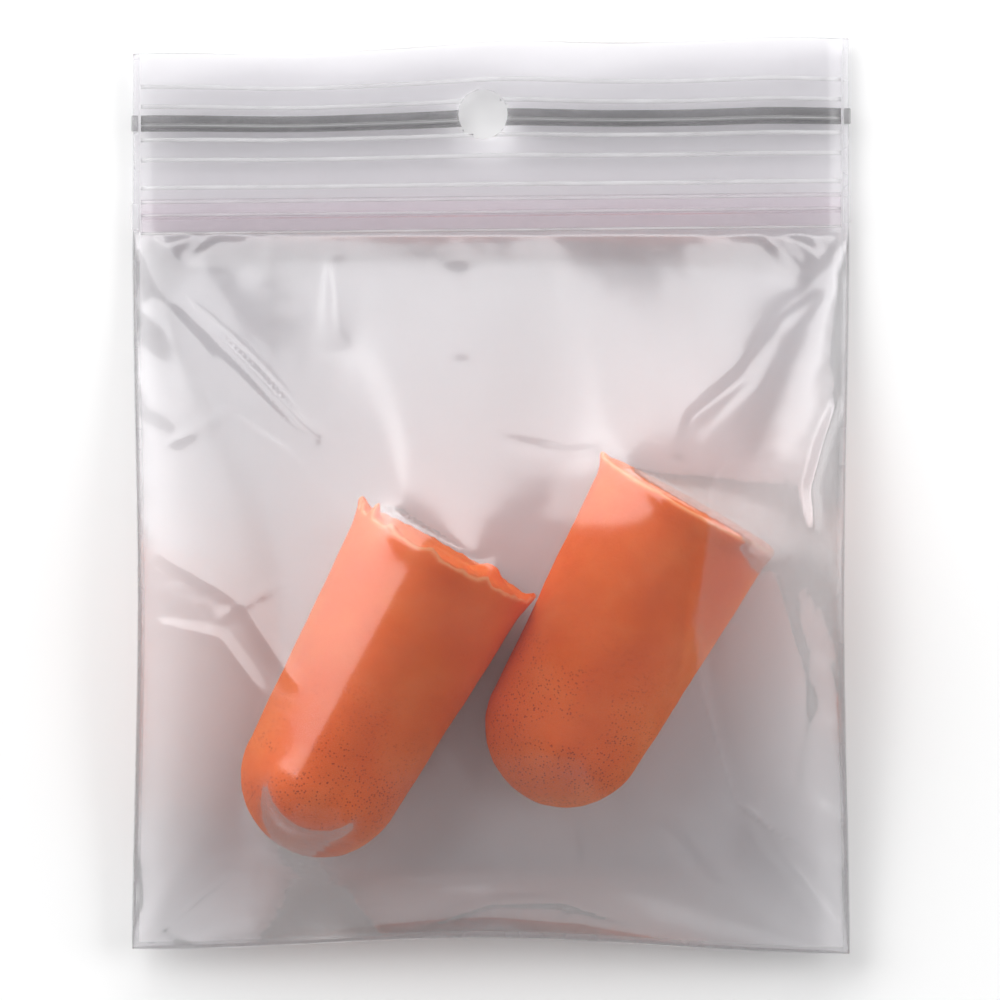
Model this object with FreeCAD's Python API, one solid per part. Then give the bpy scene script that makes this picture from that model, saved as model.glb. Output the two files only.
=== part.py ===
import FreeCAD
import Part
import math
import os

# A pair of foam ear plugs in a small clear press-to-close bag that lies on its back.
# Millimetres. +X is right, +Y is towards the bag's mouth, +Z is up.
# The origin is on the table, under the middle of the bag.

Vector = FreeCAD.Vector

# ---------------------------------------------------------------- bag, driving sizes
HALF_WIDTH = 25.4  # a bag 50.8 wide
TOP_Y = 31.9  # the mouth edge on the bag's middle line
TOP_SLANT = math.radians(1.25)  # the cut of the mouth edge rises to the right
FOLD_Y = -32.27  # the bottom fold at the corners
FOLD_SLANT = math.radians(-0.4)
FOLD_BOW = 1.0  # how far the fold is drawn up in the middle
SIDE_PULL = 0.5  # how far the ear plugs draw each side in
FILM = 0.08
WELD_WIDTH = 0.45
WELD_GAP = 0.24  # between the two films at the side welds and at the fold

# heights of the back film's underside
HEADER_LIFT = 1.0  # under the zip and the lips
SEAM_LIFT = 5.0  # at the side welds beside the ear plugs
CREST_Y = -8.0  # where the side welds are highest
CORNER_LIFT = 2.4  # at the two bottom corners
FOLD_LIFT = 3.6  # at the middle of the bottom fold

# ---------------------------------------------------------------- header, from the zip up
HEADER_SLANT = math.radians(0.6)  # the extruded lines rise to the right
POUCH_TOP_Y = 18.6  # where the films become flat for the zip
HINGE_Y = 3.6  # where the front film lifts off the ear plugs as the mouth opens
LIP_GAP = 0.62  # between the two lips
LIP_SIDE_GAP = 0.1  # between the front lip and each side weld
HOLE_X = -0.57
HOLE_Y = 27.06
HOLE_RADIUS = 1.75

ZIP_Y = 20.06
ZIP_BAND = 2.4  # width of the thick web under the zip
ZIP_WEB = 0.08
JAW_HEIGHT = 0.36
JAW_THICK = 0.13
JAW_HOOK = 0.09
JAW_INSIDE = 0.5  # between the two jaws of the groove
RIB_STEM = 0.14
RIB_HEAD = 0.38
RIB_HEAD_HEIGHT = 0.16
RIB_TIP_GAP = 0.06  # between the rib's tip and the floor of the groove

STRIP_Y = 26.66
STRIP_WIDTH = 1.15
STRIP_THICK = 0.13
FRONT_RIB_Y = (29.26, 25.48, 22.06)
BACK_RIB_Y = (27.86, 24.06)
GRIP_WIDTH = 0.3
GRIP_HEIGHT = 0.14
END_BULGE = 0.12  # how far a crushed end stands out past the side weld
END_WIDTH = 0.5
END_HEIGHT = 0.3
END_ROUND = 0.1
PUNCH_DEPTH = 20
RIB_CUT_BACK = 0.2  # the ribs are squeezed away this far round the punched hole
ZIP_END_LENGTH = 1.92

# ---------------------------------------------------------------- ear plugs
PLUG_LENGTH = 23.8
RIM_RADIUS = 6.95  # the flared rim of the flat base
RIM_EDGE = 0.35
WAIST_RADIUS = 6.75
WAIST_AT = 1.5
SHOULDER_RADIUS = 5.75
PLUG_CLEAR = 0.22  # between the foam and either film
LEFT_BASE = (-3.17, -4.04)
RIGHT_BASE = (14.03, -0.54)
PLUG_TURN = math.radians(29.0)  # the noses point this far to the left of -Y

SHOULDER_AT = PLUG_LENGTH - SHOULDER_RADIUS
LEAN = math.atan2(RIM_RADIUS - SHOULDER_RADIUS, SHOULDER_AT - RIM_EDGE)
BASE_HEIGHT = FILM + PLUG_CLEAR + RIM_RADIUS

# ---------------------------------------------------------------- the films' net
COLUMNS = 22  # across the bag
POUCH_ROWS = 16  # fold to hinge line
MOUTH_ROWS = 7  # hinge line to zip
RELAX_ROUNDS = 900
REACH = 2.4  # each point of the net clears all foam within one mesh of it
REACH_STEPS = 4


def plug_radius(along):
    """Radius of an ear plug at a distance from its base."""
    if along < 0 or along > PLUG_LENGTH:
        return 0.0
    if along <= RIM_EDGE:
        return RIM_RADIUS
    if along <= WAIST_AT:
        share = (along - RIM_EDGE) / (WAIST_AT - RIM_EDGE)
        return RIM_RADIUS + share * (WAIST_RADIUS - RIM_RADIUS)
    if along <= SHOULDER_AT:
        share = (along - WAIST_AT) / (SHOULDER_AT - WAIST_AT)
        return WAIST_RADIUS + share * (SHOULDER_RADIUS - WAIST_RADIUS)
    return math.sqrt(max(SHOULDER_RADIUS**2 - (along - SHOULDER_AT) ** 2, 0.0))


def plug_heights(base, x, y):
    """Lowest and highest foam over a point of the table, or None beside the ear plug."""
    dx = x - base[0]
    dy = y - base[1]
    along = (-dx * math.sin(PLUG_TURN) - dy * math.cos(PLUG_TURN)) / math.cos(LEAN)
    aside = dx * math.cos(PLUG_TURN) - dy * math.sin(PLUG_TURN)
    radius = plug_radius(along)
    if radius <= abs(aside):
        return None
    middle = BASE_HEIGHT - along * math.sin(LEAN)
    rise = math.sqrt(radius**2 - aside**2)
    return middle - rise, middle + rise


def foam_span(x, y):
    """Lowest and highest foam within one mesh of a point of the table, or None."""
    low = []
    high = []
    steps = [REACH * n / REACH_STEPS for n in range(-REACH_STEPS, REACH_STEPS + 1)]
    for base in (LEFT_BASE, RIGHT_BASE):
        for dx in steps:
            for dy in steps:
                span = plug_heights(base, x + dx, y + dy)
                if span:
                    low.append(span[0])
                    high.append(span[1])
    return (min(low), max(high)) if low else None


def smooth(share):
    share = min(max(share, 0.0), 1.0)
    return share * share * (3.0 - 2.0 * share)


def arch(x):
    """1 on the bag's middle line and 0 at its sides."""
    return math.cos(0.5 * math.pi * min(abs(x) / HALF_WIDTH, 1.0)) ** 2


def seam_height(y):
    """Underside of the back film at a side weld."""
    if y > CREST_Y:
        share = smooth((POUCH_TOP_Y - y) / (POUCH_TOP_Y - CREST_Y))
        return HEADER_LIFT + share * (SEAM_LIFT - HEADER_LIFT)
    share = smooth((y - FOLD_Y) / (CREST_Y - FOLD_Y))
    return CORNER_LIFT + share * (SEAM_LIFT - CORNER_LIFT)


def fold_height(x):
    """Underside of the back film along the bottom fold."""
    return CORNER_LIFT + arch(x) * (FOLD_LIFT - CORNER_LIFT)


def fold_y(x):
    return FOLD_Y + x * math.tan(FOLD_SLANT) + FOLD_BOW * arch(x)


def mouth_y(x):
    return TOP_Y + x * math.tan(TOP_SLANT)


def side_share(y):
    """How much narrower the bag is at y than at its corners, as a factor for x."""
    bump = smooth(1.0 - abs(y - CREST_Y) / (POUCH_TOP_Y - CREST_Y))
    return 1.0 - bump * SIDE_PULL / HALF_WIDTH


WELD_X = HALF_WIDTH - WELD_WIDTH
NET_X = [-HALF_WIDTH]
NET_X += [WELD_X * (2.0 * i / COLUMNS - 1.0) for i in range(COLUMNS + 1)]
NET_X += [HALF_WIDTH]
LAST_ROW = POUCH_ROWS + MOUTH_ROWS
EDGE_COLUMNS = (0, 1, len(NET_X) - 2, len(NET_X) - 1)  # in the side welds


def net_point(i, j):
    """Place in plan of column i and row j of the films' net, fold to zip."""
    x = NET_X[i]
    if j == 0:
        y = fold_y(x)
    elif j <= POUCH_ROWS:
        low = fold_y(x) + WELD_WIDTH
        y = low + (HINGE_Y - low) * (j - 1) / (POUCH_ROWS - 1)
    else:
        y = HINGE_Y + (POUCH_TOP_Y - HINGE_Y) * (j - POUCH_ROWS) / MOUTH_ROWS
    return x * side_share(y), y


def net_heights(is_front):
    """Heights of a film's underside: pulled tight between its edges and over the foam."""
    columns = len(NET_X)
    lift = FILM + WELD_GAP if is_front else 0.0
    heights = {}
    limits = {}
    free = []
    for i in range(columns):
        for j in range(LAST_ROW + 1):
            x, y = net_point(i, j)
            if j == LAST_ROW:
                heights[i, j] = HEADER_LIFT + (FILM + LIP_GAP if is_front else 0.0)
            elif i in EDGE_COLUMNS:
                heights[i, j] = seam_height(y) + lift
            elif j <= 1:
                heights[i, j] = fold_height(NET_X[i]) + lift
            else:
                heights[i, j] = BASE_HEIGHT
                free.append((i, j))
            span = foam_span(x, y)
            if span and is_front:
                limits[i, j] = span[1] + PLUG_CLEAR
            elif span:
                limits[i, j] = span[0] - PLUG_CLEAR - FILM
    for _ in range(RELAX_ROUNDS):
        for i, j in free:
            level = 0.25 * (
                heights[i - 1, j]
                + heights[i + 1, j]
                + heights[i, j - 1]
                + heights[i, j + 1]
            )
            if (i, j) in limits and is_front:
                level = max(level, limits[i, j])
            elif (i, j) in limits:
                level = min(level, limits[i, j])
            heights[i, j] = max(level, 0.0)
    return heights


def polygon(points):
    return Part.Face(Part.makePolygon(points + points[:1]))


def layer(under, over):
    """A solid between two nets of points: lists of rows, each with the same columns."""
    rows = len(under)
    columns = len(under[0])
    faces = []
    for j in range(rows - 1):
        for i in range(columns - 1):
            for net, flip in ((under, True), (over, False)):
                a, b = net[j][i], net[j][i + 1]
                c, d = net[j + 1][i + 1], net[j + 1][i]
                for corners in ([a, b, c], [a, c, d]):
                    faces.append(polygon(corners[::-1] if flip else corners))
    rim = [(j, 0) for j in range(rows)]
    rim += [(rows - 1, i) for i in range(1, columns)]
    rim += [(j, columns - 1) for j in range(rows - 2, -1, -1)]
    rim += [(0, i) for i in range(columns - 2, 0, -1)]
    for n, (j, i) in enumerate(rim):
        k, m = rim[(n + 1) % len(rim)]
        wall = [under[j][i], under[k][m], over[k][m], over[j][i]]
        faces.append(polygon([wall[0], wall[1], wall[2]]))
        faces.append(polygon([wall[0], wall[2], wall[3]]))
    solid = Part.Solid(Part.Shell(faces))
    solid.fix(1e-6, 1e-6, 1e-6)
    if solid.Volume < 0:
        solid.reverse()
    return solid.removeSplitter()


def film_layer(rows, thick=FILM):
    """A film of even thickness over rows of (x, y, z) points."""
    under = [[Vector(*p) for p in row] for row in rows]
    over = [[Vector(p[0], p[1], p[2] + thick) for p in row] for row in rows]
    return layer(under, over)


def hang_hole(solid, radius=HOLE_RADIUS):
    tool = Part.makeCylinder(radius, PUNCH_DEPTH, Vector(HOLE_X, HOLE_Y, -PUNCH_DEPTH / 2))
    return solid.cut(tool)


def header_profile(points, half_length):
    """A (y, z) outline swept along the slanted line of the header."""
    run = 2 * half_length
    rise = run * math.tan(HEADER_SLANT)
    start = -rise / 2
    outline = [Vector(-half_length, y + start, z) for y, z in points]
    return polygon(outline).extrude(Vector(run, rise, 0))


def header_band(y, width, low, high, half_length):
    half = width / 2
    outline = [(y - half, low), (y + half, low), (y + half, high), (y - half, high)]
    return header_profile(outline, half_length)


BACK_TOP = HEADER_LIFT + FILM
FRONT_UNDER = BACK_TOP + LIP_GAP
LIP_HALF = WELD_X - LIP_SIDE_GAP


def back_film(heights):
    """Back wall of the pouch and the back lip, with the hang hole."""
    rows = []
    for j in range(LAST_ROW + 1):
        rows.append([(*net_point(i, j), heights[i, j]) for i in range(len(NET_X))])
    rows.append([(x, mouth_y(x), HEADER_LIFT) for x in NET_X])
    return hang_hole(film_layer(rows))


def front_film(heights):
    """Front wall of the pouch, from the fold to the hinge line."""
    rows = []
    for j in range(POUCH_ROWS + 1):
        rows.append([(*net_point(i, j), heights[i, j]) for i in range(len(NET_X))])
    return film_layer(rows)


def front_lip_film(heights):
    """The front film from the hinge line to the mouth edge, inside the side welds."""
    inner = range(1, len(NET_X) - 1)
    rows = []
    for j in range(POUCH_ROWS, LAST_ROW + 1):
        row = []
        for i in inner:
            x, y = net_point(i, j)
            row.append((x * LIP_HALF / WELD_X, y, heights[i, j]))
        rows.append(row)
    top = [NET_X[i] * LIP_HALF / WELD_X for i in inner]
    rows.append([(x, mouth_y(x), FRONT_UNDER) for x in top])
    return hang_hole(film_layer(rows))


def bottom_fold(heights):
    """The thin closed edge between the two films at the bottom of the pouch."""
    inner = range(1, len(NET_X) - 1)
    rows = [[(*net_point(i, j), heights[i, j] + FILM) for i in inner] for j in (0, 1)]
    return film_layer(rows, WELD_GAP)


def side_weld(heights, columns):
    """The fused bead between the two films, from the fold to the mouth."""
    rows = []
    for j in range(LAST_ROW + 1):
        rows.append([(*net_point(i, j), heights[i, j] + FILM) for i in columns])
    rows.append([(NET_X[i], mouth_y(NET_X[i]), BACK_TOP) for i in columns])
    return film_layer(rows, WELD_GAP)


def zip_groove():
    """The female track on the back lip: a web and two hooked jaws."""
    low = BACK_TOP
    web = header_band(ZIP_Y, ZIP_BAND, low, low + ZIP_WEB, LIP_HALF)
    jaws = []
    for side in (-1, 1):
        wall = ZIP_Y + side * JAW_INSIDE / 2
        outer = wall + side * JAW_THICK
        hook = wall - side * JAW_HOOK
        base = low + ZIP_WEB
        top = base + JAW_HEIGHT
        outline = [
            (wall, base),
            (outer, base),
            (outer, top),
            (hook, top),
            (hook, top - JAW_HOOK),
            (wall, top - 2 * JAW_HOOK),
        ]
        jaws.append(header_profile(outline, LIP_HALF))
    return web.fuse(jaws).removeSplitter()


def zip_rib():
    """The male track under the front lip: a web, a stem and an arrow head."""
    web = header_band(ZIP_Y, ZIP_BAND, FRONT_UNDER - ZIP_WEB, FRONT_UNDER, LIP_HALF)
    tip = BACK_TOP + ZIP_WEB + RIB_TIP_GAP
    head = tip + RIB_HEAD_HEIGHT
    half_stem = RIB_STEM / 2
    half_head = RIB_HEAD / 2
    outline = [
        (ZIP_Y - half_stem, FRONT_UNDER - ZIP_WEB),
        (ZIP_Y - half_stem, head),
        (ZIP_Y - half_head, head),
        (ZIP_Y - half_stem, tip),
        (ZIP_Y + half_stem, tip),
        (ZIP_Y + half_head, head),
        (ZIP_Y + half_stem, head),
        (ZIP_Y + half_stem, FRONT_UNDER - ZIP_WEB),
    ]
    return web.fuse(header_profile(outline, LIP_HALF)).removeSplitter()


def header_strip(low):
    """A tinted stiffening strip on the inside of a lip, punched with the hang hole."""
    return hang_hole(header_band(STRIP_Y, STRIP_WIDTH, low, low + STRIP_THICK, LIP_HALF))


def grip_ribs(places, low):
    """Thin extruded lines on the inside of a lip; the hang hole cuts what it meets."""
    ribs = []
    for y in places:
        band = header_band(y, GRIP_WIDTH, low, low + GRIP_HEIGHT, LIP_HALF)
        ribs.append(hang_hole(band, HOLE_RADIUS + RIB_CUT_BACK))
    return Part.makeCompound(ribs)


def crushed_ends(y, length):
    """Two flattened lumps where a header profile is melted into the side welds."""
    lumps = []
    for side in (-1, 1):
        middle = y + side * HALF_WIDTH * math.tan(HEADER_SLANT)
        near = side * (HALF_WIDTH + END_BULGE - END_WIDTH)
        far = side * (HALF_WIDTH + END_BULGE)
        low = BACK_TOP + WELD_GAP
        corner = Vector(min(near, far), middle - length / 2, low)
        lump = Part.makeBox(END_WIDTH, length, END_HEIGHT, corner)
        lumps.append(lump.makeFillet(END_ROUND, lump.Edges))
    return Part.makeCompound(lumps)


def ear_plug(base):
    """A bullet of foam on its side: flared rim, slight taper, round nose."""
    edge = [
        Vector(0, 0, 0),
        Vector(RIM_RADIUS, 0, 0),
        Vector(RIM_RADIUS, 0, RIM_EDGE),
        Vector(WAIST_RADIUS, 0, WAIST_AT),
        Vector(SHOULDER_RADIUS, 0, SHOULDER_AT),
    ]
    lines = [Part.makeLine(edge[n], edge[n + 1]) for n in range(len(edge) - 1)]
    half_way = SHOULDER_RADIUS * math.sqrt(0.5)
    nose = Part.Arc(
        edge[-1],
        Vector(half_way, 0, SHOULDER_AT + half_way),
        Vector(0, 0, PLUG_LENGTH),
    )
    axis = Part.makeLine(Vector(0, 0, PLUG_LENGTH), Vector(0, 0, 0))
    face = Part.Face(Part.Wire(lines + [nose.toShape(), axis]))
    plug = face.revolve(Vector(0, 0, 0), Vector(0, 0, 1), 360)
    plug = Part.Solid(plug) if plug.ShapeType != "Solid" else plug
    plug.rotate(Vector(0, 0, 0), Vector(1, 0, 0), 90 + math.degrees(LEAN))
    plug.rotate(Vector(0, 0, 0), Vector(0, 0, 1), -math.degrees(PLUG_TURN))
    plug.translate(Vector(base[0], base[1], BASE_HEIGHT))
    return plug


def build():
    back = net_heights(is_front=False)
    front = net_heights(is_front=True)
    zip_ends = ZIP_END_LENGTH
    nodes = {
        "back_film": back_film(back),
        "front_film": front_film(front),
        "bottom_fold": bottom_fold(back),
        "left_side_weld": side_weld(back, EDGE_COLUMNS[:2]),
        "right_side_weld": side_weld(back, EDGE_COLUMNS[2:]),
        "zip_groove": zip_groove(),
        "back_header_strip": header_strip(BACK_TOP),
        "back_grip_ribs": grip_ribs(BACK_RIB_Y, BACK_TOP),
        "zip_weld_ends": crushed_ends(ZIP_Y, zip_ends),
        "strip_weld_ends": crushed_ends(STRIP_Y, STRIP_WIDTH),
        "front_lip_film": front_lip_film(front),
        "zip_rib": zip_rib(),
        "front_header_strip": header_strip(FRONT_UNDER - STRIP_THICK),
        "front_grip_ribs": grip_ribs(FRONT_RIB_Y, FRONT_UNDER - GRIP_HEIGHT),
        "left_ear_plug": ear_plug(LEFT_BASE),
        "right_ear_plug": ear_plug(RIGHT_BASE),
    }
    return nodes


os.makedirs("parts", exist_ok=True)
for name, shape in build().items():
    shape.exportStep(f"parts/{name}.step")
    box = shape.BoundBox
    print(
        f"{name}: valid {shape.isValid()}, solids {len(shape.Solids)},"
        f" volume {shape.Volume:.3f}, x {box.XMin:.2f}..{box.XMax:.2f},"
        f" y {box.YMin:.2f}..{box.YMax:.2f}, z {box.ZMin:.2f}..{box.ZMax:.2f}"
    )
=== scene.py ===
import math
import bpy
import numpy as np
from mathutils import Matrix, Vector, noise


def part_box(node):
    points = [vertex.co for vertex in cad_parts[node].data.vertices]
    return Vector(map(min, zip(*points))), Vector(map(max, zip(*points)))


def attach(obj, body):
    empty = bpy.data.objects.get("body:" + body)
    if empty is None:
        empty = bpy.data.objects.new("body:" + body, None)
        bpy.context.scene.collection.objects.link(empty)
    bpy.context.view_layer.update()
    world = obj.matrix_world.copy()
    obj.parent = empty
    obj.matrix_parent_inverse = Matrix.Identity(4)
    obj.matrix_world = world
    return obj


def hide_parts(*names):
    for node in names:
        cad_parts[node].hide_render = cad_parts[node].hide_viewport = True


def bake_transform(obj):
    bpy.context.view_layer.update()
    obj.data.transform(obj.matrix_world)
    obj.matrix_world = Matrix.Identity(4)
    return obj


# Two orange foam ear plugs in a small clear press-to-close bag that lies on its back.
# Lengths are in millimetres until a mesh is made. +Y is towards the bag's mouth.

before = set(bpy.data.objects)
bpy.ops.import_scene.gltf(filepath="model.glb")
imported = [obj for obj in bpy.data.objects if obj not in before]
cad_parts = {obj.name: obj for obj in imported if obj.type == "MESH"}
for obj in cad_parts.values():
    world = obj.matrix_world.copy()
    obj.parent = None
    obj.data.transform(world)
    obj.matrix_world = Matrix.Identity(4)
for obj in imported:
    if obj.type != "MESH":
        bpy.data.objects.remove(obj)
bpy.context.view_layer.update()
MM = 0.001


def box_mm(node):
    low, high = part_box(node)
    return Vector(low) / MM, Vector(high) / MM


# ------------------------------------------------------------------ sizes from the frame
GROOVE_LOW, GROOVE_HIGH = box_mm("zip_groove")
HALF_WIDTH = box_mm("back_film")[1].x
PROFILE_HALF = GROOVE_HIGH.x  # half the length of the zip, strips and grip lines
BACK_TOP = GROOVE_LOW.z  # inside face of the back lip
FRONT_UNDER = box_mm("zip_rib")[1].z  # inside face of the front lip
FILM = 0.08
HEADER_LIFT = BACK_TOP - FILM
LIP_GAP = FRONT_UNDER - BACK_TOP

# ------------------------------------------------------------------ the bag
TOP_Y = 31.9
TOP_SLOPE = math.tan(math.radians(1.25))
FOLD_Y = -32.27
FOLD_SLOPE = math.tan(math.radians(-0.4))
FOLD_BOW = 1.0
SIDE_PULL = 0.5
WELD_GAP = 0.24
SEAM_LIFT = 5.0
CREST_Y = -8.0
CORNER_LIFT = 2.4
FOLD_LIFT = 3.6
POUCH_TOP_Y = 18.6
SLANT = math.tan(math.radians(0.6))
HOLE = (-0.57, 27.06)
HOLE_RADIUS = 1.75
PUNCH_DEPTH = 8.0
ZIP_Y = 20.06
ZIP_BAND = 2.4
ZIP_WEB = 0.08
ZIP_BEAD_OFFSETS = (0.97, 0.04, -1.23)
STRIP_Y = 26.66
STRIP_WIDTH = 1.15
STRIP_THICK = 0.13
FRONT_LINES = (29.26, 26.52, 25.48, 22.06)  # the second lies on the grey strip
BACK_LINES = (27.86, 24.06)
LINE_WIDTH = 0.3
LINE_HEIGHT = 0.14

# ------------------------------------------------------------------ the ear plugs
PLUG_LENGTH = 23.8
RIM_RADIUS = 6.95
WAIST_RADIUS = 6.75
WAIST_AT = 1.5
RIM_EDGE = 0.35
SHOULDER_RADIUS = 5.75
SHOULDER_AT = PLUG_LENGTH - SHOULDER_RADIUS
LEAN = math.atan2(RIM_RADIUS - SHOULDER_RADIUS, SHOULDER_AT - RIM_EDGE)
TURN = math.radians(29.0)
BASE_HEIGHT = 0.3 + RIM_RADIUS
LEFT_BASE = np.array([-3.17, -4.04, BASE_HEIGHT])
RIGHT_BASE = np.array([14.03, -0.54, BASE_HEIGHT])
AXIS = np.array([-math.sin(TURN) * math.cos(LEAN), -math.cos(TURN) * math.cos(LEAN), -math.sin(LEAN)])
SIDE = np.array([math.cos(TURN), -math.sin(TURN), 0.0])
UP = np.cross(AXIS, SIDE)
UP = UP * math.copysign(1.0, UP[2])


def smooth(share):
    share = np.clip(share, 0.0, 1.0)
    return share * share * (3.0 - 2.0 * share)


def hump(value, middle, width):
    return np.exp(-(((value - middle) / width) ** 2))


# ------------------------------------------------------------------ outline of the bag
def arch(x):
    return np.cos(0.5 * np.pi * np.minimum(np.abs(x) / HALF_WIDTH, 1.0)) ** 2


def seam_height(y):
    up = smooth((POUCH_TOP_Y - y) / (POUCH_TOP_Y - CREST_Y))
    down = smooth((y - FOLD_Y) / (CREST_Y - FOLD_Y))
    above = HEADER_LIFT + up * (SEAM_LIFT - HEADER_LIFT)
    below = CORNER_LIFT + down * (SEAM_LIFT - CORNER_LIFT)
    return np.where(y > CREST_Y, above, below)


def fold_height(x):
    return CORNER_LIFT + arch(x) * (FOLD_LIFT - CORNER_LIFT)


def fold_y(x):
    return FOLD_Y + x * FOLD_SLOPE + FOLD_BOW * arch(x)


def side_share(y):
    bump = smooth(1.0 - np.abs(y - CREST_Y) / (POUCH_TOP_Y - CREST_Y))
    return 1.0 - bump * SIDE_PULL / HALF_WIDTH


def lip_sway(x):
    """How the soft mouth edge wanders up and down along the lip."""
    return 0.34 * hump(x, 1.0, 5.0) - 0.28 * hump(x, -14.0, 6.0) + 0.2 * hump(x, 20.0, 4.0)


def header_point(x, y):
    """A point of the flat header, carried along with the lip's sway."""
    share = smooth((y - ZIP_Y) / (TOP_Y - ZIP_Y))
    return y + share * lip_sway(x)


def header_wave(x, y):
    """The lips' gentle waves in height; none at the zip, which is stiff."""
    share = smooth((y - ZIP_Y - 1.5) / (TOP_Y - ZIP_Y))
    return share * (0.35 * np.sin(0.19 * x + 0.5) + 0.2 * np.sin(0.43 * x - 0.22 * y))


def lip_drop(x):
    """The front lip comes down to the side welds at its ends."""
    return (LIP_GAP - WELD_GAP) * (1.0 - smooth((HALF_WIDTH - 0.2 - np.abs(x)) / 1.6))


# ------------------------------------------------------------------ how the films settle
DROP_HEIGHT = 16.0  # the front wall starts above the ear plugs
DROP_ROUNDS = 60
UNEVEN = 0.03  # small chance differences that start the folds
SAG = 0.004
AIR = 0.0018  # a little air in the bag lifts its front wall
FOAM_GAP = 0.1
FILM_ROUNDS = ((33, 300), (65, 200), (129, 70), (161, 25))
HEADER_ROWS = 42
SMOOTH_PASSES = 10


def plug_radius(along):
    rim = RIM_RADIUS + (along - RIM_EDGE) / (WAIST_AT - RIM_EDGE) * (WAIST_RADIUS - RIM_RADIUS)
    taper = (along - WAIST_AT) / (SHOULDER_AT - WAIST_AT)
    cone = WAIST_RADIUS + taper * (SHOULDER_RADIUS - WAIST_RADIUS)
    return np.where(along < RIM_EDGE, RIM_RADIUS, np.where(along < WAIST_AT, rim, cone))


def keep_off_foam(points, gap):
    """Moves film points out of both ear plugs, to a gap from their skin."""
    for base, ragged in ((LEFT_BASE, 1.2), (RIGHT_BASE, 0.3)):
        away = points - base
        along = away @ AXIS
        spoke = away - along[..., None] * AXIS
        reach = np.linalg.norm(spoke, axis=-1) + 1e-9
        need = plug_radius(along) + gap - reach
        depth = along + gap + ragged
        inside = (depth > 0) & (along <= SHOULDER_AT) & (need > 0)
        by_base = inside & (depth < need) & (along < 2.0)
        by_side = inside & ~by_base
        points = np.where(by_side[..., None], points + spoke * (need / reach)[..., None], points)
        points = np.where(by_base[..., None], points - AXIS * depth[..., None], points)
        middle = base + AXIS * SHOULDER_AT
        away = points - middle
        reach = np.linalg.norm(away, axis=-1) + 1e-9
        nose = (away @ AXIS > 0) & (reach < SHOULDER_RADIUS + gap)
        ball = middle + away * ((SHOULDER_RADIUS + gap) / reach)[..., None]
        points = np.where(nose[..., None], ball, points)
    return points


def pull(points, loose, first, second, length, give):
    """Draws pairs of film points to their length apart."""
    apart = points[second] - points[first]
    now = np.sqrt((apart * apart).sum(-1, keepdims=True)) + 1e-9
    both = loose[first] + loose[second] + 1e-9
    step = apart * ((now - length) / now * give / both)
    points[first] += step * loose[first]
    points[second] -= step * loose[second]


def film_ties(count, across, along, stiffness):
    """Pairs of points for warp, weft, both diagonals and bending, in groups that share no point."""
    every = slice(None)
    ties = []
    slope = math.hypot(across, along)
    for odd in (0, 1):
        near, far = slice(odd, count - 1, 2), slice(odd + 1, count, 2)
        ties.append(((every, near), (every, far), across, 1.0))
        ties.append(((near, every), (far, every), along, 1.0))
        ties.append(((slice(0, count - 1), near), (slice(1, count), far), slope, 0.6))
        ties.append(((slice(1, count), near), (slice(0, count - 1), far), slope, 0.6))
    for reach in (2, 4):
        for start in range(2 * reach):
            near = np.arange(start, count - reach, 2 * reach)
            ties.append(((every, near), (every, near + reach), reach * across, stiffness))
            ties.append(((near, every), (near + reach, every), reach * along, stiffness))
    return ties


def finer(points, count):
    """The same film with more points."""
    rows, columns = points.shape[:2]
    old, new = np.linspace(0, 1, rows), np.linspace(0, 1, count)
    tall = np.stack([[np.interp(new, old, points[:, i, k]) for i in range(columns)] for k in range(3)])
    old = np.linspace(0, 1, columns)
    wide = [[np.interp(new, old, tall[k, :, j]) for j in range(count)] for k in range(3)]
    return np.moveaxis(np.array(wide), 0, -1)


def settle_film(is_front, slack, stiffness, seed):
    """Lets one wall of the pouch settle over or under the ear plugs, between its sealed edges."""
    lift = FILM + WELD_GAP if is_front else 0.0
    draw = np.random.default_rng(seed)
    points = None
    for count, rounds in FILM_ROUNDS:
        x = np.linspace(-HALF_WIDTH, HALF_WIDTH, count)[None, :] * np.ones((count, 1))
        share = np.linspace(0, 1, count)[:, None] * np.ones((1, count))
        low = fold_y(x)
        y = low + (POUCH_TOP_Y - low) * share
        edge = np.stack([x * side_share(y), y, seam_height(y) + lift], -1)
        edge[0, :, 2] = fold_height(x[0]) + lift
        edge[-1, :, 2] = HEADER_LIFT + (FILM + LIP_GAP - lip_drop(x[-1]) if is_front else 0.0)
        if points is None:
            points = edge.copy()
            points[1:-1, 1:-1, 2] = DROP_HEIGHT if is_front else 0.0
            for _ in range(DROP_ROUNDS if is_front else 0):
                points[1:-1, 1:-1, 2] = 0.25 * (
                    points[:-2, 1:-1, 2] + points[2:, 1:-1, 2] + points[1:-1, :-2, 2] + points[1:-1, 2:, 2]
                )
        else:
            points = finer(points, count)
        loose = np.zeros((count, count, 1))
        loose[1:-1, 1:-1] = 1.0
        points = np.where(loose > 0, points, edge)
        across = 2 * HALF_WIDTH * (1 + slack) / (count - 1)
        along = (POUCH_TOP_Y - FOLD_Y - 0.5 * FOLD_BOW) * (1 + slack) / (count - 1)
        points[..., 2] += draw.normal(0, UNEVEN, (count, count)) * loose[..., 0]
        for _ in range(rounds):
            points[..., 2] += (AIR if is_front else -SAG) * loose[..., 0]
            for first, second, length, give in film_ties(count, across, along, stiffness):
                pull(points, loose, first, second, length, give)
            free = keep_off_foam(points, FOAM_GAP + (0.0 if is_front else FILM))
            free[..., 2] = np.maximum(free[..., 2], 0.0)
            points = np.where(loose > 0, free, points)
    return points


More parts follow.
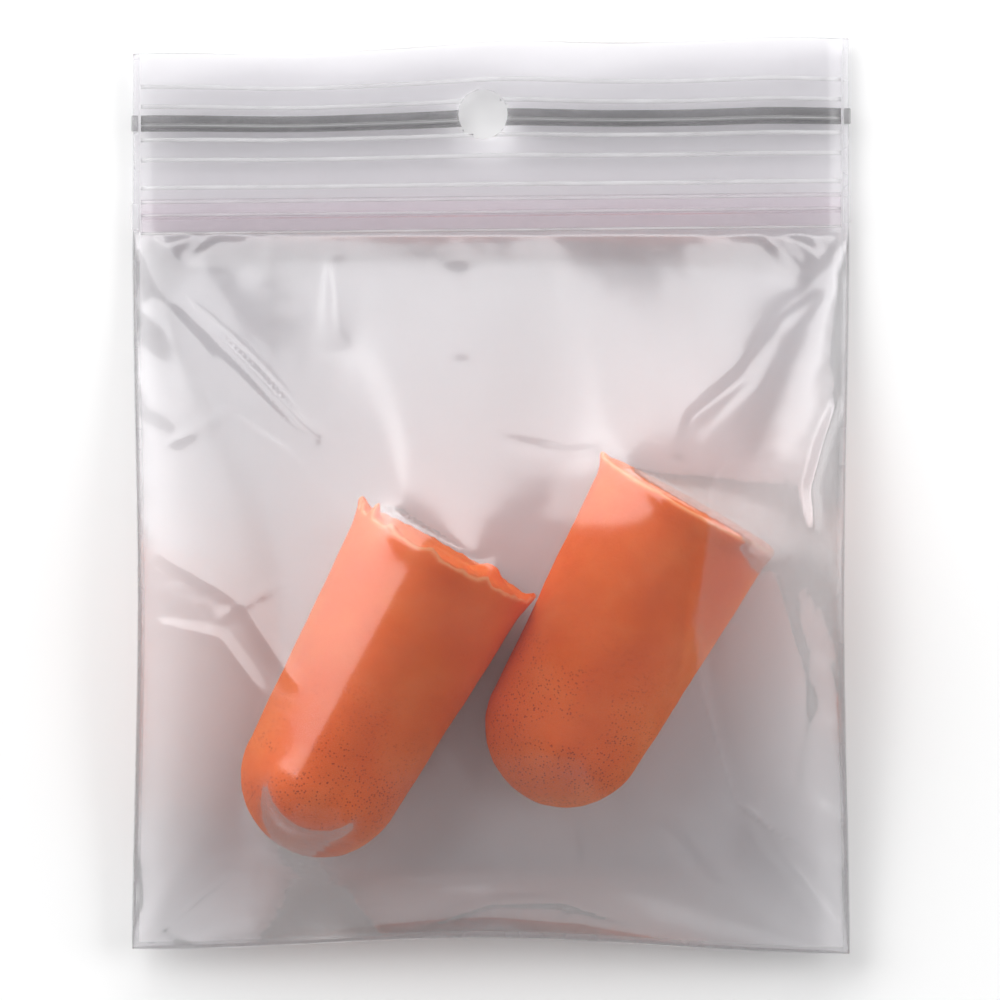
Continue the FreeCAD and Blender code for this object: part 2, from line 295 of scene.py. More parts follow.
# Folds pressed into the front wall: line of the fold, its height and its width.
FRONT_CREASES = (
    (((-22.3, 14.1), (-16.7, 8.5), (-12.0, 3.5)), 0.45, 0.5),
    (((-23.8, 14.1), (-20.6, 10.7), (-18.1, 6.3), (-13.8, 3.4), (-10.1, -0.8)), -0.22, 0.35),
    (((23.9, 15.3), (20.4, 12.3), (17.7, 8.3), (14.2, 5.4), (13.1, 2.6)), -0.24, 0.6),
    (((24.6, 6.8), (23.5, 4.0), (22.5, 0.5), (22.8, -2.4)), 0.3, 0.3),
    (((-2.8, -16.0), (-1.8, -20.0), (-0.9, -25.0)), 0.25, 0.9),
    (((25.0, -31.6), (17.7, -21.6)), 0.25, 0.35),
    (((-24.2, -31.2), (-17.8, -25.9)), 0.25, 0.35),
    (((-5.0, -30.3), (0.0, -28.6), (5.0, -28.6), (10.6, -30.3)), 0.2, 0.4),
    (((-23.5, -4.0), (-17.5, -7.5), (-13.5, -13.5)), 0.15, 0.4),
    (((-24.0, -9.0), (-19.0, -10.0), (-16.0, -14.0)), 0.17, 0.3),
    (((-22.0, -14.0), (-18.9, -8.5), (-14.5, -6.0)), 0.12, 0.35),
    (((-22.9, 3.4), (-18.1, 6.1)), 0.13, 0.35),
    (((-10.9, 16.9), (-10.8, 10.4)), 0.14, 0.9),
    (((-2.3, 16.4), (-2.0, 9.5)), 0.14, 0.9),
    (((0.6, 4.0), (5.4, 2.9), (7.5, 3.3)), -0.09, 0.25),
    (((19.8, -5.3), (22.0, -14.0), (20.5, -24.4)), 0.25, 0.8),
    (((4.0, -20.0), (6.0, -25.0), (5.0, -30.0)), 0.2, 0.5),
    (((12.0, -23.0), (16.0, -28.0)), 0.18, 0.4),
    (((15.2, 0.4), (14.1, -8.8), (14.8, -13.8), (17.0, -21.6), (21.2, -24.4)), 0.14, 0.5),
)


def press_creases(points, creases):
    """Raises or sinks the film along each fold line; every fold fades out at its two ends."""
    for line, height, width in creases:
        best = np.full(points.shape[:2], 1e9)
        share = np.zeros(points.shape[:2])
        for i, (start, end) in enumerate(zip(line, line[1:])):
            start, run = np.array(start), np.array(end) - np.array(start)
            t = np.clip(((points[..., :2] - start) @ run) / (run @ run), 0, 1)
            far = np.linalg.norm(points[..., :2] - start - t[..., None] * run, axis=-1)
            share = np.where(far < best, (i + t) / (len(line) - 1), share)
            best = np.minimum(best, far)
        fade = np.sqrt(np.clip(4 * share * (1 - share), 0, 1))
        points[1:-1, 1:-1, 2] += (height * fade * hump(best, 0, width))[1:-1, 1:-1]
    return points


def ease_near_seams(points, passes):
    """Irons out the smallest puckers close to the sealed edges."""
    from_seam = np.minimum(HALF_WIDTH - np.abs(points[..., 0]), points[..., 1] - fold_y(points[..., 0]))
    share = 0.25 + 0.75 * smooth((4.0 - from_seam) / 3.5)[1:-1, 1:-1, None]
    for _ in range(passes):
        around = points[:-2, 1:-1] + points[2:, 1:-1] + points[1:-1, :-2] + points[1:-1, 2:]
        points[1:-1, 1:-1] += 0.5 * share * (around / 4 - points[1:-1, 1:-1])
    return points


# ------------------------------------------------------------------ making pieces
def new_mesh_piece(name, points, faces):
    """A piece from points in millimetres, already in its place."""
    mesh = bpy.data.meshes.new(name)
    mesh.from_pydata([tuple(p) for p in np.asarray(points) * MM], [], faces)
    mesh.validate()
    piece = bpy.data.objects.new(name, mesh)
    bpy.context.scene.collection.objects.link(piece)
    return piece


def pick_only(piece):
    for other in bpy.context.selected_objects:
        other.select_set(False)
    piece.select_set(True)
    bpy.context.view_layer.objects.active = piece


def smooth_shade(piece):
    piece.data.shade_smooth()


def finish_piece(piece, material):
    piece.data.materials.clear()
    piece.data.materials.append(material)


def open_with_mouth(piece):
    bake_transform(piece)


def cut_hang_hole(points, faces, cell):
    """Opens the round hang hole in a film's grid and draws the rim onto a true circle."""
    away = points[:, :2] - np.array(HOLE)
    reach = np.linalg.norm(away, axis=1)
    near = np.abs(reach - HOLE_RADIUS) < 0.6 * cell
    points[near, :2] = np.array(HOLE) + away[near] * (HOLE_RADIUS / reach[near])[:, None]
    reach = np.linalg.norm(points[:, :2] - np.array(HOLE), axis=1)
    return [f for f in faces if np.mean([reach[i] for i in f]) > HOLE_RADIUS + 0.02 * cell]


def header_height(x, y, is_front):
    low = HEADER_LIFT + (FILM + LIP_GAP - lip_drop(x) if is_front else 0.0)
    return low + header_wave(x, y)


def off_foam(x, y):
    """Where the front wall stands off the right plug; there a painted reflection makes it cloudier than
    where it clings.
    """
    edge_y = (-26.0, -21.6, -13.8, -8.8, -4.0, 0.4, 3.0)
    edge_x = (23.0, 17.0, 14.6, 14.0, 14.9, 15.1, 16.5)
    side = smooth((x - np.interp(y, edge_y, edge_x)) / 0.35)
    return side * smooth((24.0 - x) / 4.0) * smooth((3.5 - y) / 2.0) * smooth((y + 27.0) / 4.0)


def with_header(pouch, is_front):
    """Adds the flat lip above the pouch, row by row up to the slanted mouth edge."""
    x = pouch[-1, :, 0]
    mouth = TOP_Y + x * TOP_SLOPE
    header = []
    for step in range(1, HEADER_ROWS + 1):
        flat = POUCH_TOP_Y + (mouth - POUCH_TOP_Y) * step / HEADER_ROWS
        y = header_point(x, flat)
        header.append(np.stack([x, y, header_height(x, y, is_front)], -1))
    return np.concatenate([pouch, np.array(header)], 0)


def film_surface(name, grid):
    """One sheet of film from a grid of points, with the hang hole punched in it."""
    rows, columns = grid.shape[:2]
    points = grid.reshape(-1, 3)
    corner = np.arange(rows * columns).reshape(rows, columns)
    ring = (corner[:-1, :-1], corner[:-1, 1:], corner[1:, 1:], corner[1:, :-1])
    faces = np.stack(ring, -1).reshape(-1, 4).tolist()
    faces = cut_hang_hole(points, faces, 2 * HALF_WIDTH / (columns - 1))
    wall = new_mesh_piece(name, points, faces)
    pick_only(wall)
    bpy.ops.object.mode_set(mode="EDIT")
    bpy.ops.mesh.select_all(action="SELECT")
    bpy.ops.mesh.delete_loose()
    bpy.ops.object.mode_set(mode="OBJECT")
    return wall


def film_wall(name, is_front, slack, stiffness, seed, creases):
    """A whole wall of the bag: settled pouch, pressed folds, flat lip, then its thickness."""
    pouch = settle_film(is_front, slack, stiffness, seed)
    pouch = press_creases(ease_near_seams(pouch, SMOOTH_PASSES), creases)
    inner = keep_off_foam(pouch[1:-1, 1:-1], FOAM_GAP + (0.0 if is_front else FILM))
    inner[..., 2] = np.maximum(inner[..., 2], 0.0)
    pouch[1:-1, 1:-1] = inner
    wall = film_surface(name, with_header(pouch, is_front))
    if is_front:
        spots = np.array([tuple(v.co) for v in wall.data.vertices]) / MM
        layer = wall.data.attributes.new("off_foam", "FLOAT", "POINT")
        layer.data.foreach_set("value", off_foam(spots[:, 0], spots[:, 1]).astype(np.float32))
    shell = wall.modifiers.new("thickness", "SOLIDIFY")
    shell.thickness = FILM * MM
    shell.offset = 1.0
    bpy.ops.object.modifier_apply(modifier=shell.name)
    smooth_shade(wall)
    return wall


def extruded_line(name, y, width, height, foot, is_front, cuts=110, sides=12):
    """A line extruded with the film: a low bead that runs across the lip, rounded on top."""
    step = 2 * PROFILE_HALF / cuts
    bpy.ops.object.select_all(action="DESELECT")
    bpy.ops.mesh.primitive_circle_add(
        vertices=sides,
        radius=MM,
        fill_type="NGON",
        rotation=(0, math.pi / 2, 0),
        location=(-PROFILE_HALF * MM, 0, 0),
    )
    bead = bpy.context.object
    bead.name = name
    bead.data.name = name
    bpy.ops.object.transform_apply(location=True, rotation=True, scale=True)
    bpy.ops.object.mode_set(mode="EDIT")
    bpy.ops.mesh.select_all(action="SELECT")
    for _ in range(cuts):
        bpy.ops.mesh.extrude_region_move(TRANSFORM_OT_translate={"value": (step * MM, 0, 0)})
    bpy.ops.mesh.select_all(action="SELECT")
    bpy.ops.mesh.normals_make_consistent(inside=False)
    bpy.ops.object.mode_set(mode="OBJECT")
    for vertex in bead.data.vertices:
        x, across, up = (c / MM for c in vertex.co)
        flat_up = math.copysign(abs(up) ** 0.6, up)
        line_y = y + x * SLANT + across * width / 2
        line_y = float(header_point(x, line_y))
        level = float(header_height(x, line_y, is_front)) + foot + (flat_up + 1) * height / 2
        vertex.co = Vector((x, line_y, level)) * MM
    smooth_shade(bead)
    return bead


def cut_line_at_hole(line):
    """Takes a line away where the hang hole was punched through it."""
    bpy.ops.object.select_all(action="DESELECT")
    bpy.ops.mesh.primitive_cylinder_add(
        vertices=64,
        radius=HOLE_RADIUS * MM,
        depth=PUNCH_DEPTH * MM,
        location=(HOLE[0] * MM, HOLE[1] * MM, PUNCH_DEPTH / 4 * MM),
    )
    punch = bpy.context.object
    pick_only(line)
    cut = line.modifiers.new("hole", "BOOLEAN")
    cut.operation = "DIFFERENCE"
    cut.solver = "EXACT"
    cut.object = punch
    bpy.ops.object.modifier_apply(modifier=cut.name)
    bpy.data.objects.remove(punch)


def join_as(name, parts):
    pick_only(parts[0])
    for part in parts:
        part.select_set(True)
    bpy.ops.object.join()
    parts[0].name = name
    parts[0].data.name = name
    return parts[0]


# ------------------------------------------------------------------ ear plugs
PLUG_AROUND = 320
POLE_RADIUS = 0.02
RIM_ROUND = 0.3
FOAM_SHRINK = 0.03  # keeps the lumpy skin inside the plug's true outline
LUMP_SPOT = (3.4, 1.5)
LUMP_WIDTH = 1.1
LEFT_FINS = (
    # angle round the rim from the right end, width in degrees, length past the base, spread outwards
    (-4, 3.0, 0.75, 0.25),
    (6, 5.0, 0.35, 0.1),
    (150, 4.0, 1.3, -0.1),
    (166, 3.0, 0.7, 0.1),
    (178, 2.5, 0.9, 0.35),
    (188, 3.5, 0.6, 0.5),
    (60, 6.0, 0.5, 0.05),
    (98, 9.0, 0.4, 0.0),
    (128, 5.0, 0.55, 0.1),
)
RIGHT_FINS = (
    (176, 6.0, 0.25, 0.45),
    (184, 5.0, 0.2, 0.5),
    (40, 12.0, 0.12, 0.05),
    (110, 14.0, 0.12, 0.1),
)


def plug_outline():
    """Half the plug's outline, from the middle of its base to the tip of its nose."""
    inner = RIM_RADIUS - RIM_ROUND
    line = [(0.0, r) for r in np.linspace(POLE_RADIUS, inner, 34)]
    for turn in np.linspace(0, math.pi / 2, 6):
        line.append((RIM_ROUND - RIM_ROUND * math.cos(turn), inner + RIM_ROUND * math.sin(turn)))
    for along in np.linspace(0.42, SHOULDER_AT, 118):
        line.append((along, float(plug_radius(np.array(along)))))
    for turn in np.linspace(0, math.pi / 2, 62)[1:]:
        reach = max(SHOULDER_RADIUS * math.cos(turn), POLE_RADIUS)
        line.append((SHOULDER_AT + SHOULDER_RADIUS * math.sin(turn), reach))
    return line


def foam_skin(spot, shift):
    """How far the foam's skin stands out or in at a spot: soft lumps and a fine grain."""
    soft = 0.07 * noise.noise(spot * 0.33 + shift) + 0.03 * noise.noise(spot * 1.1 + shift)
    return soft + 0.012 * noise.noise(spot * 5.5 + shift) - FOAM_SHRINK


def torn_rim(degrees, fins, at_rim):
    """Length past the base and outward spread of the torn fins at one angle of the rim."""
    out = 0.0
    spread = 0.0
    for where, width, length, wide in fins:
        turn = (degrees - where + 180) % 360 - 180
        peak = max(0.0, 1 - abs(turn) / width) ** 1.3
        out += length * peak * at_rim
        spread += wide * peak * at_rim
    return out, spread


def plug_faces(rows):
    """Rings of four-sided faces, then a fan round the base's middle and one round the tip."""
    faces = []
    for i in range(rows - 1):
        for j in range(PLUG_AROUND):
            k = (j + 1) % PLUG_AROUND
            a, b = i * PLUG_AROUND, (i + 1) * PLUG_AROUND
            faces.append((a + j, a + k, b + k, b + j))
    middle = rows * PLUG_AROUND
    last_row = (rows - 1) * PLUG_AROUND
    for j in range(PLUG_AROUND):
        k = (j + 1) % PLUG_AROUND
        faces.append((middle, k, j))
        faces.append((middle + 1, last_row + j, last_row + k))
    return faces


def foam_plug(name, base, fins, ragged, has_lump, seed):
    """One bullet-shaped plug as a closed form, with its base, rim, taper and round nose."""
    outline = plug_outline()
    toward_nose = []
    rim_highlight = []
    shift = Vector((seed * 7.3, seed * 3.1, seed * 5.7))
    points = []
    for along, radius in outline:
        on_base = hump(along, 0.0, 0.55)
        for j in range(PLUG_AROUND):
            angle = 2 * math.pi * j / PLUG_AROUND
            spot = Vector((radius * math.cos(angle), radius * math.sin(angle), along))
            skin = foam_skin(spot, shift)
            at_rim = float(hump(radius, RIM_RADIUS, 0.7)) * float(on_base)
            out, spread = torn_rim(math.degrees(angle), fins, at_rim)
            rough = noise.noise(spot * 1.6 + shift) + 0.6 * noise.noise(spot * 3.7 + shift)
            out += ragged * float(on_base) * rough * min(1.0, radius / 2)
            if has_lump:
                lump = math.hypot(spot.x - LUMP_SPOT[0], spot.y - LUMP_SPOT[1])
                out += math.exp(-((lump / LUMP_WIDTH) ** 2)) * float(on_base)
            swell = skin * min(1.0, radius / 0.5)
            grow = (radius + swell + spread) / max(radius, 1e-6)
            tip = skin * max(0.0, (along - SHOULDER_AT) / SHOULDER_RADIUS)
            place = base + SIDE * spot.x * grow + UP * spot.y * grow + AXIS * (along - out + tip)
            points.append(place)
            toward_nose.append(along / PLUG_LENGTH)
            # A painted highlight along the edge of the base's rim, kept as a value on each point.
            rim_highlight.append(float(hump(radius, RIM_RADIUS, 0.16)) * float(hump(along, 0.08, 0.16)))
    points.append(base)
    points.append(base + AXIS * PLUG_LENGTH)
    faces = plug_faces(len(outline))
    plug = new_mesh_piece(name, points, faces)
    pick_only(plug)
    bpy.ops.object.mode_set(mode="EDIT")
    bpy.ops.mesh.select_all(action="SELECT")
    bpy.ops.mesh.normals_make_consistent(inside=False)
    bpy.ops.object.mode_set(mode="OBJECT")
    smooth_shade(plug)
    for label, values in (("toward_nose", toward_nose + [0.0, 1.0]), ("rim_highlight", rim_highlight + [0.0, 0.0])):
        layer = plug.data.attributes.new(label, "FLOAT", "POINT")
        layer.data.foreach_set("value", values)
    return plug


# ------------------------------------------------------------------ materials
def sheet_of_nodes(name):
    material = bpy.data.materials.new(name)
    material.use_nodes = True
    tree = material.node_tree
    tree.nodes.clear()
    end = tree.nodes.new("ShaderNodeOutputMaterial")
    return material, tree, end


def add_node(tree, kind, **inputs):
    node = tree.nodes.new(kind)
    for label, value in inputs.items():
        node.inputs[label.replace("_", " ")].default_value = value
    return node


def linear(red, green, blue):
    """A colour as seen on a screen, 0 to 255, made linear."""
    parts = [c / 255 for c in (red, green, blue)]
    return tuple(c / 12.92 if c <= 0.04045 else ((c + 0.055) / 1.055) ** 2.4 for c in parts) + (1.0,)


def ramp(tree, source, stops):
    node = tree.nodes.new("ShaderNodeValToRGB")
    tree.links.new(source, node.inputs["Fac"])
    while len(node.color_ramp.elements) < len(stops):
        node.color_ramp.elements.new(0.5)
    for element, (spot, colour) in zip(node.color_ramp.elements, stops):
        element.position = spot
        element.color = colour
    return node.outputs["Color"]


def in_place(tree):
    return tree.nodes.new("ShaderNodeTexCoord").outputs["Object"]


def noise_at(tree, scale, detail=3.0, rough=0.5):
    node = add_node(tree, "ShaderNodeTexNoise", Scale=scale, Detail=detail, Roughness=rough)
    tree.links.new(in_place(tree), node.inputs["Vector"])
    return node.outputs["Fac"]


def own_value(tree, label):
    """A value that the piece's own mesh carries from point to point."""
    node = tree.nodes.new("ShaderNodeAttribute")
    node.attribute_name = label
    return node.outputs["Fac"]


def fine_grain_group():
    """Shared grain: a fine uneven height for the foam's skin and the film's crinkle."""
    group = bpy.data.node_groups.new("fine_grain", "ShaderNodeTree")
    for label, value in (("Scale", 1000.0), ("Detail", 2.0), ("Roughness", 0.5)):
        socket = group.interface.new_socket(name=label, in_out="INPUT", socket_type="NodeSocketFloat")
        socket.default_value = value
    group.interface.new_socket(name="Height", in_out="OUTPUT", socket_type="NodeSocketFloat")
    start = group.nodes.new("NodeGroupInput")
    end = group.nodes.new("NodeGroupOutput")
    grain = group.nodes.new("ShaderNodeTexNoise")
    for label in ("Scale", "Detail", "Roughness"):
        group.links.new(start.outputs[label], grain.inputs[label])
    group.links.new(in_place(group), grain.inputs["Vector"])
    group.links.new(grain.outputs["Fac"], end.inputs["Height"])
    return group


FINE_GRAIN = fine_grain_group()


def grain_height(tree, scale, detail, rough):
    node = tree.nodes.new("ShaderNodeGroup")
    node.node_tree = FINE_GRAIN
    node.inputs["Scale"].default_value = scale
    node.inputs["Detail"].default_value = detail
    node.inputs["Roughness"].default_value = rough
    return node.outputs["Height"]


def math_node(tree, operation, *values):
    """A Math node; a value may be a number or another node's output."""
    node = tree.nodes.new("ShaderNodeMath")
    node.operation = operation
    for socket, value in zip(node.inputs, values):
        if isinstance(value, (int, float)):
            socket.default_value = value
        else:
            tree.links.new(value, socket)
    return node


def blend_colour(tree, share, under, over):
    node = tree.nodes.new("ShaderNodeMix")
    node.data_type = "RGBA"
    tree.links.new(share, node.inputs["Factor"])
    tree.links.new(under, node.inputs["A"])
    node.inputs["B"].default_value = over
    return node.outputs["Result"]


def mix_shaders(tree, under, over, share=None):
    node = tree.nodes.new("ShaderNodeMixShader")
    if share is not None:
        tree.links.new(share, node.inputs["Fac"])
    tree.links.new(under.outputs[0], node.inputs[1])
    tree.links.new(over.outputs[0], node.inputs[2])
    return node


BLACK = (0, 0, 0, 1)
WHITE = (1, 1, 1, 1)


def grey(value):
    return (value, value, value, 1)


def foam_material():
    """Slow-recovery foam: matt orange skin, soft blotches, fine open pores darkened with painted shade, and
    a painted highlight along the base's rim edge.
    """
    material, tree, end = sheet_of_nodes("orange_foam")
    shader = add_node(tree, "ShaderNodeBsdfPrincipled", Roughness=0.86, IOR=1.4)
    shader.inputs["Subsurface Weight"].default_value = 0.25
    shader.inputs["Subsurface Radius"].default_value = (1.0, 0.35, 0.15)
    shader.inputs["Subsurface Scale"].default_value = 0.0012
    shader.inputs["Specular IOR Level"].default_value = 0.25
    shades = ((0.3, linear(243, 113, 50)), (0.55, linear(249, 123, 57)), (0.75, linear(252, 134, 70)))
    blotch = ramp(tree, noise_at(tree, 260.0, 4.0), shades)
    pores = add_node(tree, "ShaderNodeTexVoronoi", Scale=4000.0)
    tree.links.new(in_place(tree), pores.inputs["Vector"])
    open_pore = ramp(tree, pores.outputs["Distance"], ((0.13, WHITE), (0.32, BLACK)))
    cluster = ramp(tree, noise_at(tree, 330.0, 3.0), ((0.36, BLACK), (0.54, WHITE)))
    near_nose = ramp(tree, own_value(tree, "toward_nose"), ((0.4, grey(0.12)), (0.72, WHITE)))
    where = math_node(tree, "MULTIPLY", cluster, near_nose).outputs[0]
    pore_pit_and_shade = math_node(tree, "MULTIPLY", open_pore, where).outputs[0]
    # Painted shade: the pores' pits are coloured darker, and the same mask also dents the bump.
    colour = blend_colour(tree, pore_pit_and_shade, blotch, linear(176, 62, 30))
    # Painted highlight: the base's rim edge is coloured a paler orange.
    colour = blend_colour(tree, own_value(tree, "rim_highlight"), colour, linear(252, 178, 128))
    tree.links.new(colour, shader.inputs["Base Color"])
    grain = add_node(tree, "ShaderNodeBump", Strength=0.35, Distance=0.00008)
    tree.links.new(grain_height(tree, 3800.0, 4.0, 0.65), grain.inputs["Height"])
    dents = add_node(tree, "ShaderNodeBump", Strength=0.4, Distance=0.0001)
    dents.invert = True
    tree.links.new(pore_pit_and_shade, dents.inputs["Height"])
    tree.links.new(grain.outputs["Normal"], dents.inputs["Normal"])
    tree.links.new(dents.outputs["Normal"], shader.inputs["Normal"])
    tree.links.new(shader.outputs[0], end.inputs["Surface"])
    return material


# Extra white haze, a painted reflection, where the front wall stands off the right plug.
STAND_OFF_REFLECTION = 0.09
LIP_GLOSS = 0.55  # the lips are less glossy than the pouch


def clear_film_material(name, tint, haze, haze_colour, rough, gloss, wrinkle):
    """Thin clear film: what is behind shows through it, a little cloudy, with a wet-looking gloss."""
    material, tree, end = sheet_of_nodes(name)
    clear = add_node(tree, "ShaderNodeBsdfTransparent", Color=tint)
    lit_side = add_node(tree, "ShaderNodeBsdfPrincipled", Base_Color=haze_colour, Roughness=0.6)
    far_side = add_node(tree, "ShaderNodeBsdfTranslucent", Color=haze_colour)
    cloud = mix_shaders(tree, lit_side, far_side)
    shine = add_node(tree, "ShaderNodeBsdfGlossy", Color=WHITE, Roughness=rough)
    crinkle = add_node(tree, "ShaderNodeBump", Strength=wrinkle, Distance=0.0001)
    tree.links.new(grain_height(tree, 420.0, 2.0, 0.6), crinkle.inputs["Height"])
    edge = add_node(tree, "ShaderNodeFresnel", IOR=1.5)
    for shader in (lit_side, far_side, shine, edge):
        tree.links.new(crinkle.outputs["Normal"], shader.inputs["Normal"])
    milky = ramp(tree, noise_at(tree, 150.0, 2.0, 0.6), ((0.3, grey(haze * 0.6)), (0.7, grey(haze * 1.4))))
    # Painted reflection added to the film's own milky haze where it stands off the right plug.
    haze_and_gap_reflection = math_node(tree, "MULTIPLY_ADD", own_value(tree, "off_foam"), STAND_OFF_REFLECTION, milky)
    body = mix_shaders(tree, clear, cloud, haze_and_gap_reflection.outputs[0])
    duller = math_node(tree, "MULTIPLY_ADD", lip_mask(tree), LIP_GLOSS - 1.0, 1.0)
    mirror = math_node(tree, "MULTIPLY", edge.outputs[0], duller.outputs[0])
    strength = math_node(tree, "MULTIPLY", mirror.outputs[0], gloss)
    strength.use_clamp = True
    coat = mix_shaders(tree, body, shine, strength.outputs[0])
    tree.links.new(coat.outputs[0], end.inputs["Surface"])
    return material


def lip_mask(tree):
    """1 on the flat lips above the pouch, 0 on the pouch."""
    place = tree.nodes.new("ShaderNodeSeparateXYZ")
    tree.links.new(in_place(tree), place.inputs[0])
    rise = tree.nodes.new("ShaderNodeMapRange")
    rise.inputs["From Min"].default_value = (POUCH_TOP_Y - 0.2) * MM
    rise.inputs["From Max"].default_value = (POUCH_TOP_Y + 0.4) * MM
    tree.links.new(place.outputs["Y"], rise.inputs["Value"])
    return rise.outputs["Result"]


def floor_material():
    material, tree, end = sheet_of_nodes("studio_floor")
    shader = add_node(tree, "ShaderNodeBsdfPrincipled", Base_Color=(0.93, 0.93, 0.93, 1), Roughness=0.9)
    tree.links.new(shader.outputs[0], end.inputs["Surface"])
    return material


# ------------------------------------------------------------------ studio
CAMERA_HEIGHT = 702.0
SHARP_HEIGHT = 2.0  # the lips' height, where the frame's width is measured
CAMERA_OVER = (0.64, -0.32)
FRAME_HALF = 35.46
WORLD_LIGHT = 0.28
STUDIO_LIGHTS = (
    ("key_softbox", (-0.5, 0.45, 0.5), (0.85, 0.85), 7.2),
    ("right_softbox", (0.6, 0.1, 0.45), (0.4, 0.6), 2.3),
    ("back_softbox", (0.1, 0.7, 0.45), (0.8, 0.25), 2.4),
    ("front_softbox", (-0.1, -0.75, 0.45), (1.0, 0.5), 0.5),
)


def add_softbox(name, place, size, power):
    lamp = bpy.data.lights.new(name, "AREA")
    lamp.shape = "RECTANGLE"
    lamp.size, lamp.size_y = size
    lamp.energy = power
    light = bpy.data.objects.new(name, lamp)
    light.location = place
    light.rotation_euler = (-Vector(place)).to_track_quat("-Z", "Y").to_euler()
    bpy.context.scene.collection.objects.link(light)


def make_studio():
    scene = bpy.context.scene
    bpy.ops.object.select_all(action="DESELECT")
    bpy.ops.mesh.primitive_plane_add(size=3.0, location=(0, 0, -0.00002))
    floor = bpy.context.object
    floor.name = "studio_floor"
    bpy.ops.object.transform_apply(location=True, rotation=True, scale=True)
    floor.data.materials.append(floor_material())
    lens = bpy.data.cameras.new("camera")
    lens.sensor_width = 36.0
    lens.angle = 2 * math.atan(FRAME_HALF / (CAMERA_HEIGHT - SHARP_HEIGHT))
    lens.clip_start = 0.01
    camera = bpy.data.objects.new("camera", lens)
    camera.location = (CAMERA_OVER[0] * MM, CAMERA_OVER[1] * MM, CAMERA_HEIGHT * MM)
    scene.collection.objects.link(camera)
    scene.camera = camera
    for name, place, size, power in STUDIO_LIGHTS:
        add_softbox(name, place, size, power)
    world = bpy.data.worlds.new("studio")
    world.use_nodes = True
    world.node_tree.nodes["Background"].inputs["Color"].default_value = (1.0, 1.0, 1.0, 1)
    world.node_tree.nodes["Background"].inputs["Strength"].default_value = WORLD_LIGHT
    scene.world = world
    scene.view_settings.view_transform = "Standard"
    scene.cycles.transparent_max_bounces = 48


# ------------------------------------------------------------------ put together
make_studio()
foam = foam_material()
pouch_film = clear_film_material(
    "clear_film",
    tint=(0.996, 0.993, 0.999, 1),
    haze=0.02,
    haze_colour=linear(240, 239, 243),
    rough=0.17,
    gloss=0.75,
    wrinkle=0.2,
)
# The beads' milky white is partly their own colour and partly a painted highlight along their rounded tops.
bead_highlight_film = clear_film_material(
    "bead_highlight_film",
    tint=(0.98, 0.98, 0.98, 1),
    haze=0.7,
    haze_colour=linear(255, 255, 255),
    rough=0.2,
    gloss=1.0,
    wrinkle=0.1,
)
zip_film = clear_film_material(
    "zip_film",
    tint=(1.0, 0.993, 0.998, 1),
    haze=0.07,
    haze_colour=linear(255, 245, 251),
    rough=0.25,
    gloss=0.45,
    wrinkle=0.1,
)
strip_film = clear_film_material(
    "grey_strip_film",
    tint=(0.93, 0.93, 0.93, 1),
    haze=0.3,
    haze_colour=linear(160, 160, 160),
    rough=0.3,
    gloss=0.8,
    wrinkle=0.15,
)
weld_film = clear_film_material(
    "weld_film",
    tint=(1.0, 1.0, 1.0, 1),
    haze=0.25,
    haze_colour=linear(250, 250, 252),
    rough=0.25,
    gloss=0.8,
    wrinkle=0.2,
)


def make_plugs():
    left = foam_plug("left_foam_plug", LEFT_BASE, LEFT_FINS, 0.13, True, 1)
    right = foam_plug("right_foam_plug", RIGHT_BASE, RIGHT_FINS, 0.04, False, 2)
    for plug, node in ((left, "left_ear_plug"), (right, "right_ear_plug")):
        finish_piece(plug, foam)
        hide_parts(node)
        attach(plug, node)


def make_walls():
    """The bag's two walls, each one sheet from the fold to the mouth."""
    back = film_wall("back_film_wall", is_front=False, slack=0.01, stiffness=0.35, seed=5, creases=())
    finish_piece(back, pouch_film)
    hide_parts("back_film")
    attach(back, "bag")
    creases = FRONT_CREASES
    front = film_wall("front_film_wall", is_front=True, slack=0.032, stiffness=0.4, seed=3, creases=creases)
    finish_piece(front, pouch_film)
    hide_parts("front_film", "front_lip_film")
    open_with_mouth(front)


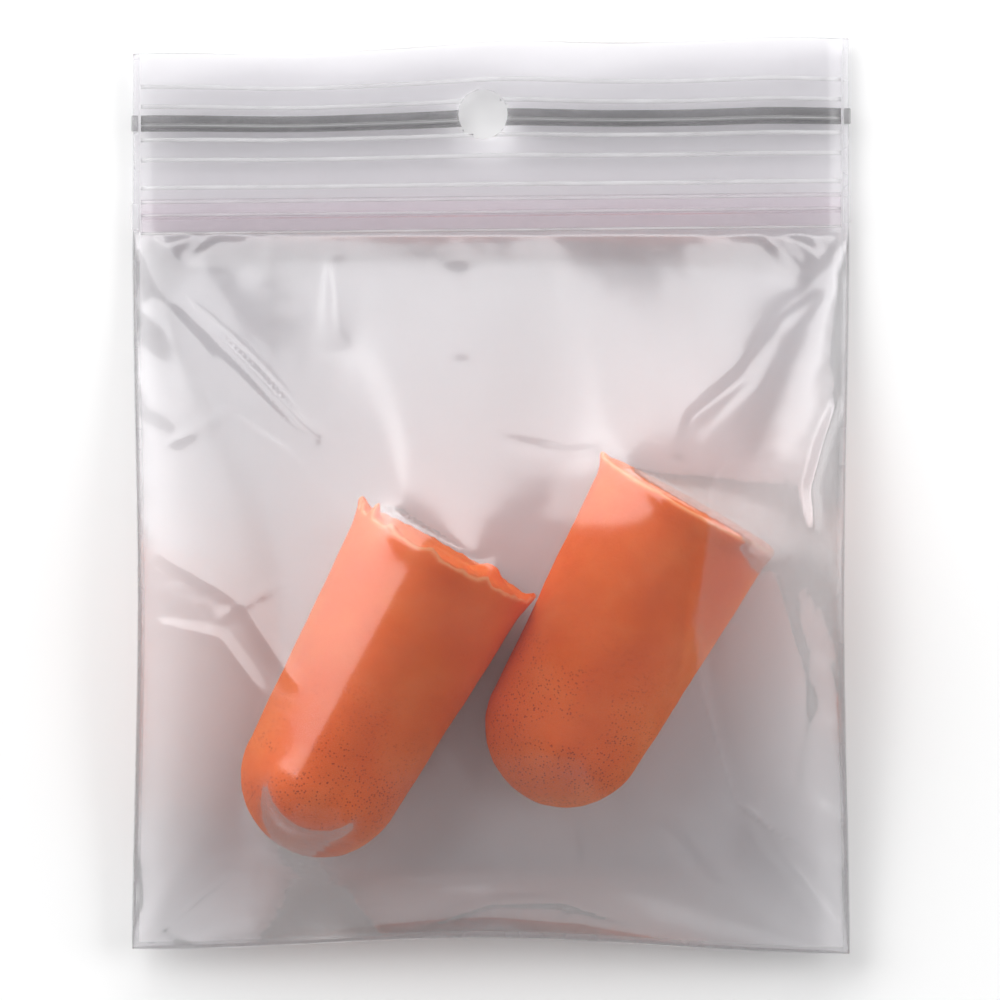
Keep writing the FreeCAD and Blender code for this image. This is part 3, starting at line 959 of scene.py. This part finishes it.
def grip_lines(name, places, foot, is_front):
    lines = []
    for number, y in enumerate(places):
        line = extruded_line("%s_%d" % (name, number), y, LINE_WIDTH, LINE_HEIGHT, foot, is_front)
        cut_line_at_hole(line)
        lines.append(line)
    lines = join_as(name, lines)
    finish_piece(lines, bead_highlight_film)
    return lines


def make_grip_lines():
    front = grip_lines("front_grip_lines", FRONT_LINES, -LINE_HEIGHT, True)
    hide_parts("front_grip_ribs")
    open_with_mouth(front)
    back = grip_lines("back_grip_lines", BACK_LINES, FILM, False)
    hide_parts("back_grip_ribs")
    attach(back, "bag")


def grey_strip(name, foot, is_front):
    strip = extruded_line(name, STRIP_Y, STRIP_WIDTH, STRIP_THICK, foot, is_front)
    cut_line_at_hole(strip)
    finish_piece(strip, strip_film)
    return strip


def make_grey_strips():
    front = grey_strip("front_grey_strip", -STRIP_THICK, True)
    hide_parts("front_header_strip")
    open_with_mouth(front)
    back = grey_strip("back_grey_strip", FILM, False)
    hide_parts("back_header_strip")
    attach(back, "bag")


def make_zip():
    """The front lip's half of the zip: web, stem and head, and three beads along it, milky white partly
    from a painted highlight.
    """
    web = extruded_line("zip_web", ZIP_Y, width=ZIP_BAND, height=ZIP_WEB, foot=-ZIP_WEB, is_front=True)
    stem = extruded_line("zip_stem", ZIP_Y, width=0.14, height=0.3, foot=-0.36, is_front=True)
    head = extruded_line("zip_head", ZIP_Y, width=0.38, height=0.16, foot=-0.46, is_front=True)
    tongue = join_as("zip_tongue", [web, stem, head])
    finish_piece(tongue, zip_film)
    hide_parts("zip_rib")
    open_with_mouth(tongue)
    beads = []
    for number, offset in enumerate(ZIP_BEAD_OFFSETS):
        y = ZIP_Y + offset
        name = "zip_bead_%d" % number
        beads.append(extruded_line(name, y, width=0.2, height=0.14, foot=-0.15, is_front=True, sides=8))
    beads = join_as("zip_edge_beads", beads)
    finish_piece(beads, bead_highlight_film)
    open_with_mouth(beads)


make_plugs()
make_walls()
make_grip_lines()
make_grey_strips()
make_zip()

for node, material in (
    ("zip_groove", zip_film),
    ("zip_weld_ends", weld_film),
    ("strip_weld_ends", strip_film),
    ("left_side_weld", weld_film),
    ("right_side_weld", weld_film),
    ("bottom_fold", weld_film),
):
    solid = bpy.data.objects[node]
    solid.data.materials.clear()
    solid.data.materials.append(material)
